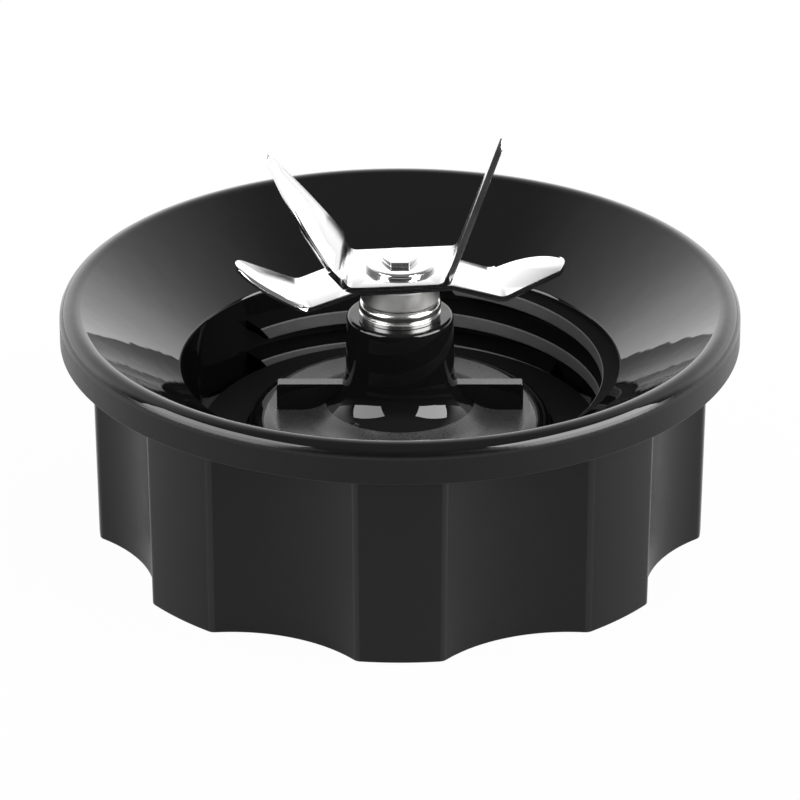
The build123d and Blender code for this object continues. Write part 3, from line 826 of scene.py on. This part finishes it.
class BLADES_OT_webs_and_ribs(Operator):
    """Repeat the webs under the dish and the ribs beside the hub post"""

    bl_idname = "blade_assembly.webs_and_ribs"
    bl_label = "Webs and ribs"

    def execute(self, context):
        base = settings().base
        at = Levels(base)
        copies = polar_copies_tree()
        inner = base.lip_radius + base.wall / 2
        outer = base.lobe_radius - base.wall / 2
        half = base.web_thickness / 2
        corners = [
            (inner, base.web_recess),
            (outer, base.web_recess),
            (outer, at.dish(outer, at.dish_drop / 2)),
            (inner, at.dish(inner, at.dish_drop / 2)),
        ]
        sides = [[(radius, y, z) for radius, z in corners] for y in (-half, half)]
        webs = skinned("base_webs", sides, closed=False)
        run_tree(webs, copies, {"Count": base.lobes, "Start angle": -pi / 2, "Material": moulding("Satin")})
        stand_in(webs, "base", "base_plastic", "jar_base")
        start = base.hub_radius - base.wall / 2
        half = base.rib_thickness / 2
        ends = [(start, -half), (base.rib_reach, -half), (base.rib_reach, half), (start, half)]
        outline = rounded([(*end, base.rib_edge_round) for end in ends], HALF_ARC_STEPS)
        low, high = at.plateau - base.wall / 2, at.plateau + base.rib_rise
        ribs = prism("base_ribs", outline, low, high, base.rib_ease)
        run_tree(ribs, copies, {"Count": 2, "Start angle": 0.0, "Material": moulding("Gloss")})
        ribs.data.materials.append(moulding("Grained"))
        for face in ribs.data.polygons:
            face.material_index = int(face.normal.z > cos(EDGE_ANGLE))
        stand_in(ribs, "base", "base_plastic", "jar_base")
        return {"FINISHED"}


class BLADES_OT_thread(Operator):
    """Sweep the ridges of the jar thread up the wall of the well"""

    bl_idname = "blade_assembly.thread"
    bl_label = "Jar thread"

    def execute(self, context):
        base, thread = settings().base, settings().thread
        at = Levels(base)
        half_crest = thread.crest / 2
        half_root = half_crest + thread.flank * (1 + thread.bite / thread.depth)
        section = rounded(
            [
                (thread.bite, -half_root, 0.0),
                (-thread.depth, -half_crest, thread.edge_round),
                (-thread.depth, half_crest, thread.edge_round),
                (thread.bite, half_root, 0.0),
            ],
            HALF_ARC_STEPS,
        )
        points = [(point.x, point.y, 0) for point in section]
        edges = [(i, (i + 1) % len(points)) for i in range(len(points))]
        full = FULL_TURN - thread.gap
        end_height = at.lip - thread.drop
        start_angle = thread.end_angle - full
        start_height = end_height - thread.pitch * full / FULL_TURN
        low_start = thread.end_angle - thread.runout
        low_height = end_height - thread.pitch - thread.pitch * thread.runout / FULL_TURN
        ridges = [
            ("thread_main", start_angle, full, start_height),
            ("thread_entry", start_angle, thread.entry_angle - start_angle, start_height + thread.pitch),
            ("thread_runout", low_start, thread.runout, low_height),
        ]
        tree = thread_tree()
        crest = base.lip_radius - thread.depth + thread.edge_round / 2
        for name, begin, span, height in ridges:
            mesh = bpy.data.meshes.new(name)
            mesh.from_pydata(points, edges, [])
            ridge = linked(name, mesh)
            values = {
                "Radius": base.lip_radius,
                "Pitch": thread.pitch,
                "Turns": span / FULL_TURN,
                "Start angle": begin,
                "Start height": height,
                "Trim height": at.lip - thread.trim,
                "End slant": thread.slant,
                "Steps": RIDGE_STEPS,
                "Material": moulding("Matte"),
            }
            run_tree(ridge, tree, values)
            # crests of the ridges get the lighter grey colour; flanks and ends keep the dark matte finish
            ridge.data.materials.append(moulding("Scuffed"))
            for face in ridge.data.polygons:
                face.material_index = int(face.center.xy.length < crest)
            stand_in(ridge, "base", "base_plastic", "jar_base")
        return {"FINISHED"}


class BLADES_OT_bearing(Operator):
    """Turn the gasket and the bearing sleeve, and finish the bushings and the seal"""

    bl_idname = "blade_assembly.bearing"
    bl_label = "Gasket and bearing"

    def execute(self, context):
        tones, drive, grain = settings().colours, settings().drive, mould_grain()
        black = tones.rubber_black
        rubber = finish("Gasket rubber", grain, black, 0.0, (0.6, 0.72), (1.0, 1.2e-5), 0.3, specular=0.15)
        bore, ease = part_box("jar_gasket")[1].x - drive.gasket_width, drive.gasket_round
        gasket = turned_ring("gasket_ring", "jar_gasket", bore, 0.0, 0.0, ease, ease)
        paint(gasket, rubber)
        stand_in(gasket, "base", "gasket_rubber", "jar_gasket")
        low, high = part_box("bearing_sleeve")
        hub = Levels(settings().base).hub
        tube, bore, seal_bore = drive.sleeve_radius, drive.sleeve_bore, drive.seal_bore
        groove, notch = hub + drive.groove_height, drive.groove_depth
        seat = high.z - drive.seal_seat
        ease = drive.collar_ease
        sleeve = turned(
            "sleeve_collar",
            [
                (bore, low.z, 0.0),
                (tube, low.z, 0.0),
                (tube, hub, 0.0),
                (high.x, hub, ease),
                (high.x, groove - notch, ease),
                (high.x - notch, groove, ease),
                (high.x, groove + notch, ease),
                (high.x, high.z, drive.collar_round),
                (seal_bore, high.z, ease),
                (seal_bore, seat, 0.0),
                (bore, seat, 0.0),
            ],
        )
        paint(sleeve, lathed("Polished collar", tones.turned_steel, (0.2, 0.28), 0.12, 0.15, rings=2600.0))
        stand_in(sleeve, "base", "sleeve_steel", "bearing_sleeve")
        sintered = finish(
            "Sintered bronze", grain, tones.bronze, 1.0, (0.38, 0.5), (1.0, 1.5e-5), 0.4, {"Grain": 5000.0}
        )
        for node in ("upper_bushing", "lower_bushing"):
            paint(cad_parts[node], sintered)
        seal_rubber = finish("Seal rubber", grain, black, 0.0, (0.4, 0.5), (1.0, 1e-5), 0.3)
        paint(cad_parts["shaft_seal"], seal_rubber)
        return {"FINISHED"}


class BLADES_OT_shaft(Operator):
    """Turn the spacer and the washer, and finish the shaft and what holds it"""

    bl_idname = "blade_assembly.shaft"
    bl_label = "Shaft, spacer and washers"

    def execute(self, context):
        tones, drive = settings().colours, settings().drive
        satin = lathed("Turned steel", tones.satin_steel, (0.55, 0.68), 0.2, 0.25, rings=3600.0)
        bright = lathed("Bright washer", tones.blade_steel, (0.08, 0.14), 0.1, 0.06, rings=1800.0)
        dark = finish("Spring steel", mould_grain(), tones.spring_steel, 1.0, (0.3, 0.42), (1.0, 1e-5), 0.3)
        bore, ease = drive.spacer_bore, drive.spacer_ease
        spacer = turned_ring("spacer_ring", "blade_spacer", bore, 0.0, ease, ease, 0.0)
        paint(spacer, satin)
        stand_in(spacer, "rotor", "spacer_steel", "blade_spacer")
        bore, ease = drive.washer_bore, drive.washer_round
        washer = turned_ring("washer_ring", "top_washer", bore, 0.0, 0.0, ease, 0.0)
        paint(washer, bright)
        stand_in(washer, "rotor", "washer_steel", "top_washer")
        shaft = eased_copy("drive_shaft", "shaft_body", drive.shaft_ease)
        paint(shaft, bright)
        stand_in(shaft, "rotor", "shaft_steel", "drive_shaft")
        paint(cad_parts["thrust_washer"], satin)
        paint(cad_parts["retaining_ring"], dark)
        return {"FINISHED"}


class BLADES_OT_blades(Operator):
    """Ease and polish the two folded blades"""

    bl_idname = "blade_assembly.blades"
    bl_label = "Folded blades"

    def execute(self, context):
        tones, blades = settings().colours, settings().blades
        relief = (0.08, FINE_RELIEF)
        polished = finish("Blade steel", rolled_sheet(), tones.blade_steel, 1.0, (0.1, 0.17), relief, 0.04)
        relief, values = (1.0, 5e-5), {"Grain": 2400.0}
        cut = finish("Cut edge", mould_grain(), tones.cut_steel, 1.0, (0.6, 0.85), relief, 0.7, values)
        for node in ("lower_blade", "upper_blade"):
            blade = eased_copy(node, f"{node}_sheet", blades.edge_ease, blades.broad_face)
            paint(blade, polished, cut)
            stand_in(blade, "rotor", "blade_steel", node)
        return {"FINISHED"}


class BLADES_OT_coupling(Operator):
    """Ease the drive coupling and finish its insert"""

    bl_idname = "blade_assembly.coupling"
    bl_label = "Drive coupling"

    def execute(self, context):
        tones, grain = settings().colours, mould_grain()
        nylon = finish("Coupling nylon", grain, tones.coupling_black, 0.0, (0.4, 0.55), (1.0, 1.5e-5), 0.4)
        coupling = eased_copy("drive_coupling", "coupling_dogs", settings().drive.coupling_ease)
        paint(coupling, nylon)
        stand_in(coupling, "rotor", "coupling_plastic", "drive_coupling")
        brass = lathed("Insert brass", tones.brass, (0.28, 0.4), 0.2, 0.2)
        paint(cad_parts["coupling_insert"], brass)
        return {"FINISHED"}


class BLADES_OT_stage(Operator):
    """Set the pale floor, the studio light and the camera"""

    bl_idname = "blade_assembly.stage"
    bl_label = "Stage"

    def execute(self, context):
        scene, stage = context.scene, settings().stage
        self.world(scene, stage)
        self.floor()
        self.softboxes(stage)
        self.camera(scene, stage)
        scene.view_settings.view_transform = "Standard"
        return {"FINISHED"}

    def world(self, scene, stage):
        """White to the camera; a bright wall behind and a dim room elsewhere for the object."""
        world = bpy.data.worlds.new("Studio")
        scene.world = world
        world.use_nodes = True
        world.node_tree.nodes.clear()
        wiring = Wiring(world.node_tree)
        way = wiring.add("ShaderNodeTexCoord").outputs["Generated"]
        height = wiring.parts(way)["Z"]
        level_way = wiring.add("ShaderNodeVectorMath", {0: way, 1: (1, 1, 0)}, operation="MULTIPLY")
        bearing = wiring.add("ShaderNodeVectorMath", {0: level_way}, operation="NORMALIZE")
        behind = wiring.ramp(wiring.parts(bearing)["Y"], *WALL_SIDES, kind="SMOOTHSTEP")
        wall = wiring.maths("MULTIPLY", behind, wiring.ramp(height, *WALL_TOP))
        above = wiring.ramp(height, *CEILING, stage.front_light, stage.top_light, kind="SMOOTHSTEP")
        level = wiring.maths("MULTIPLY_ADD", wall, stage.back_light, above)
        room = wiring.add("ShaderNodeBackground", {"Color": WHITE, "Strength": level})
        white = wiring.add("ShaderNodeBackground", {"Color": WHITE})
        path = wiring.add("ShaderNodeLightPath").outputs
        mix = wiring.add("ShaderNodeMixShader", {0: path["Is Camera Ray"], 1: room, 2: white})
        wiring.add("ShaderNodeOutputWorld", {0: mix})

    def floor(self):
        """Pale floor whose colour darkens to the front as painted shade; it keeps a faint shadow and is open
        to a look from below.
        """
        corners = ((-1, -1), (1, -1), (1, 1), (-1, 1))
        points = [(x * FLOOR_HALF, y * FLOOR_HALF, FLOOR_LEVEL) for x, y in corners]
        mesh = bpy.data.meshes.new("floor")
        mesh.from_pydata(points, [], [(0, 1, 2, 3)])
        floor = linked("floor", mesh)
        material = bpy.data.materials.new("Pale floor")
        material.use_nodes = True
        material.node_tree.nodes.clear()
        wiring = Wiring(material.node_tree)
        place = wiring.add("ShaderNodeTexCoord").outputs["Object"]
        # painted shade: the floor colour darkens towards the front, where the room is dim
        painted_floor_shade = wiring.ramp(wiring.parts(place)["Y"], *FLOOR_SHADE_SPAN, *FLOOR_SHADE_TONES, kind="SMOOTHSTEP")
        tone = wiring.add("ShaderNodeCombineColor", {"Red": painted_floor_shade, "Green": painted_floor_shade, "Blue": painted_floor_shade})
        matte = wiring.add("ShaderNodeBsdfDiffuse", {"Color": tone})
        white = wiring.add("ShaderNodeEmission")
        path = wiring.add("ShaderNodeLightPath").outputs
        mirrored = wiring.maths("MAXIMUM", path["Is Glossy Ray"], path["Is Transmission Ray"])
        seen = wiring.maths("MULTIPLY", path["Is Camera Ray"], SEEN_WHITE)
        share = wiring.maths("MULTIPLY_ADD", mirrored, MIRRORED_WHITE, seen)
        pale = wiring.add("ShaderNodeMixShader", {0: share, 1: matte, 2: white})
        underside = wiring.add("ShaderNodeNewGeometry").outputs["Backfacing"]
        clear = wiring.add("ShaderNodeBsdfTransparent")
        one_way = wiring.add("ShaderNodeMixShader", {0: underside, 1: pale, 2: clear})
        wiring.add("ShaderNodeOutputMaterial", {0: one_way})
        mesh.materials.append(material)

    def softboxes(self, stage):
        """Two broad softboxes, left and right of the object and a little to its front."""
        sides = (("left_softbox", stage.left_power, -1), ("right_softbox", stage.right_power, 1))
        across, back, up = SOFTBOX_PLACE
        for name, power, side in sides:
            lamp = bpy.data.lights.new(name, "AREA")
            lamp.shape = "RECTANGLE"
            lamp.size, lamp.size_y = SOFTBOX_SIZE
            lamp.energy = power
            box = linked(name, lamp)
            box.location = (side * across, back, up)
            box.rotation_euler = (Vector(SOFTBOX_AIM) - box.location).to_track_quat("-Z", "Y").to_euler()

    def camera(self, scene, stage):
        """Camera at the viewing angle of the photograph."""
        lens = bpy.data.cameras.new("camera")
        lens.sensor_width = 36.0
        lens.lens = stage.lens
        lens.clip_end = 20.0
        camera = linked("camera", lens)
        reach, rise = stage.view_distance, stage.view_elevation
        camera.location = (0, -reach * cos(rise), settings().base.rim_height + reach * sin(rise))
        camera.rotation_euler = (pi / 2 - rise - stage.aim_drop, 0, 0)
        scene.camera = camera


STEPS = (
    BLADES_OT_shell,
    BLADES_OT_skirt,
    BLADES_OT_webs_and_ribs,
    BLADES_OT_thread,
    BLADES_OT_bearing,
    BLADES_OT_shaft,
    BLADES_OT_blades,
    BLADES_OT_coupling,
    BLADES_OT_stage,
)


class BLADES_PT_panel(Panel):
    """Sidebar panel that lists the steps"""

    bl_idname = "BLADES_PT_panel"
    bl_label = "Blade assembly"
    bl_space_type = "VIEW_3D"
    bl_region_type = "UI"
    bl_category = "Blade assembly"

    def draw(self, context):
        for step in STEPS:
            self.layout.operator(step.bl_idname)


CLASSES = (
    JarBaseSizes,
    ThreadSizes,
    BladeSizes,
    DriveSizes,
    FinishColours,
    StageSettings,
    AssemblySettings,
    *STEPS,
    BLADES_PT_panel,
)


def register():
    """Registers the classes and gives each scene its settings."""
    for cls in CLASSES:
        bpy.utils.register_class(cls)
    bpy.types.Scene.blade_assembly = PointerProperty(type=AssemblySettings)


def unregister():
    """Takes back what register did."""
    del bpy.types.Scene.blade_assembly
    for cls in reversed(CLASSES):
        bpy.utils.unregister_class(cls)


def main():
    """Builds the pieces and the stage in order."""
    register()
    for step in STEPS:
        group, call = step.bl_idname.split(".")
        getattr(getattr(bpy.ops, group), call)()


if __name__ == "__main__":
    main()
